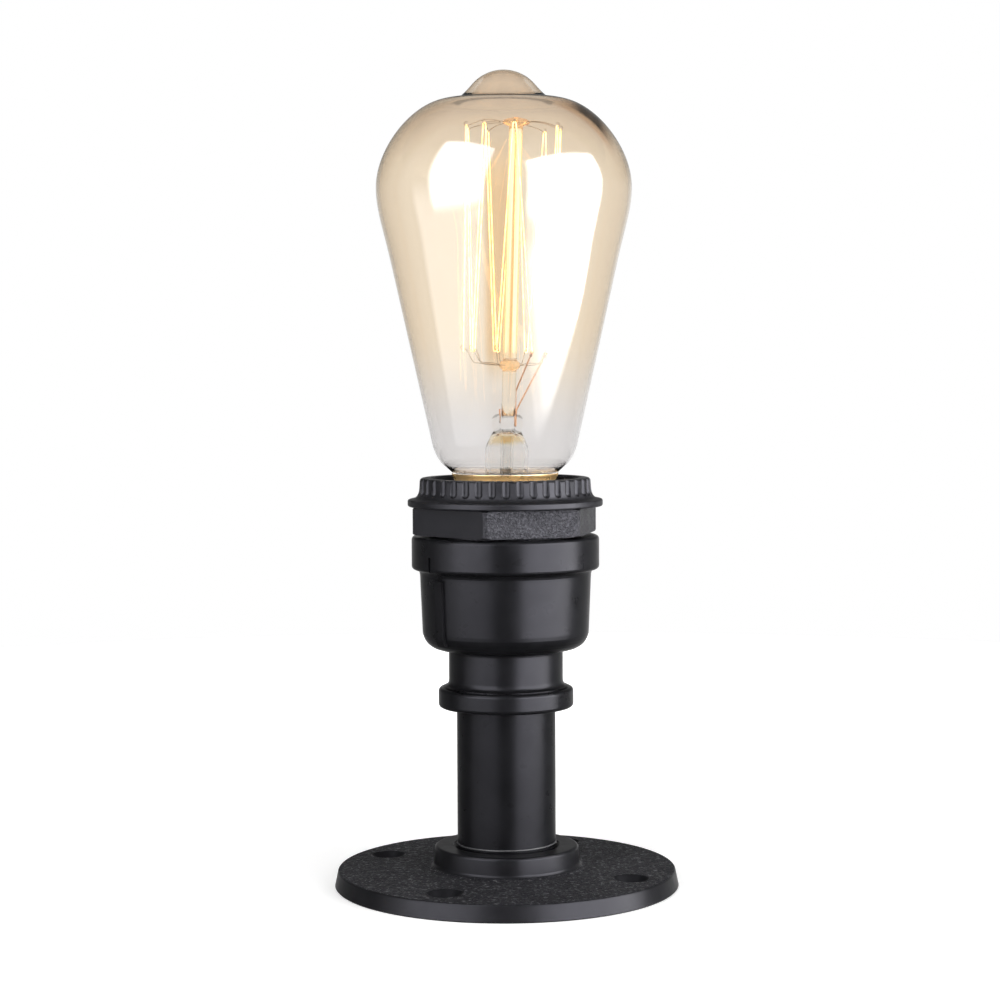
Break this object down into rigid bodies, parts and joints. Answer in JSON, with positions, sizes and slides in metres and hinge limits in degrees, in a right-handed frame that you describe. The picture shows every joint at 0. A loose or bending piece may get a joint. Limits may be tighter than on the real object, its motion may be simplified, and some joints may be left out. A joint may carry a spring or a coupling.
{
  "type": "industrial pendant light",
  "caption": "Lamp of black iron pipe fittings on a round floor flange, with a fluted shade ring, a screw lampholder and a large filament lamp with a squirrel-cage filament.",
  "frame": {"origin": "centre of the flange's fixing face, which lies on the wall, ceiling or table", "axes": "+Z along the pipe from the fixing face to the lamp, -Y towards the picture's camera, +X to its right"},
  "size_m": [0.094, 0.094, 0.2212],
  "materials": {
    "cast_black": "satin black paint over malleable iron, cast texture",
    "pipe_black": "satin black paint on steel pipe",
    "holder_black": "black",
    "ring_black": "satin",
    "porcelain": "glazed",
    "brass": "satin",
    "cap_gold": "polished",
    "steel": "zinc plated",
    "live_pvc": "matte",
    "neutral_pvc": "matte",
    "earth_pvc": "matte",
    "copper": "drawn wire",
    "envelope": "amber coated",
    "clear_glass": "clear",
    "black_glass": "gloss",
    "cement": "matte",
    "solder": "dull",
    "support_wire": "drawn wire",
    "filament": "glowing carbon wire"
  },
  "bodies": {
    "stand": {"floor_flange": "cast_black", "pipe_nipple": "pipe_black", "reducing_coupling": "cast_black", "hex_bushing": "cast_black", "holder_skirt": "holder_black", "holder_cap": "holder_black", "porcelain_insert": "porcelain", "screw_shell": "brass", "shell_rivet": "steel", "contact_foot": "brass", "contact_rivet": "steel", "terminal_blocks": "brass", "terminal_screws": "steel", "entry_nipple": "steel", "support_washer": "steel", "lock_nut": "steel", "earth_tag": "steel", "earth_screw": "brass", "live_lead": "live_pvc", "neutral_lead": "neutral_pvc", "earth_lead": "earth_pvc", "lead_ends": "copper"},
    "ring": {"shade_ring": "ring_black"},
    "contact": {"contact_leaf": "brass"},
    "lamp_tip": {"tip_contact": "solder"},
    "lamp": {"lamp_glass": "envelope", "lamp_cap": "cap_gold", "cap_glass": "black_glass", "cap_cement": "cement", "glass_stem": "clear_glass", "exhaust_tube": "clear_glass", "stem_rod": "clear_glass", "upper_supports": "support_wire", "lower_supports": "support_wire", "lead_in_wires": "copper", "filament": "filament"}
  },
  "joints": [
    {"name": "lamp_lift", "type": "slide", "parent": "stand", "child": "lamp_tip", "axis": [0, 0, 1], "range_m": [0, 0.01635]},
    {"name": "lamp_turn", "type": "hinge", "parent": "lamp_tip", "child": "lamp", "pos_m": [0, 0, 0.1], "axis": [0, 0, 1], "range_deg": [0, 1620]},
    {"name": "ring_turn", "type": "hinge", "parent": "stand", "child": "ring", "pos_m": [0, 0, 0.1075], "axis": [0, 0, 1], "range_deg": [0, 360]},
    {"name": "contact_flex", "type": "hinge", "parent": "stand", "child": "contact", "pos_m": [0.0055, 0, 0.0832], "axis": [0, 1, 0], "range_deg": [0, 9.05]}
  ],
  "couplings": [
    {"joint": "lamp_lift", "follows": "lamp_turn", "m_per_rad": 0.00057757},
    {"joint": "contact_flex", "follows": "lamp_turn", "ratio": 0.0055556}
  ]
}
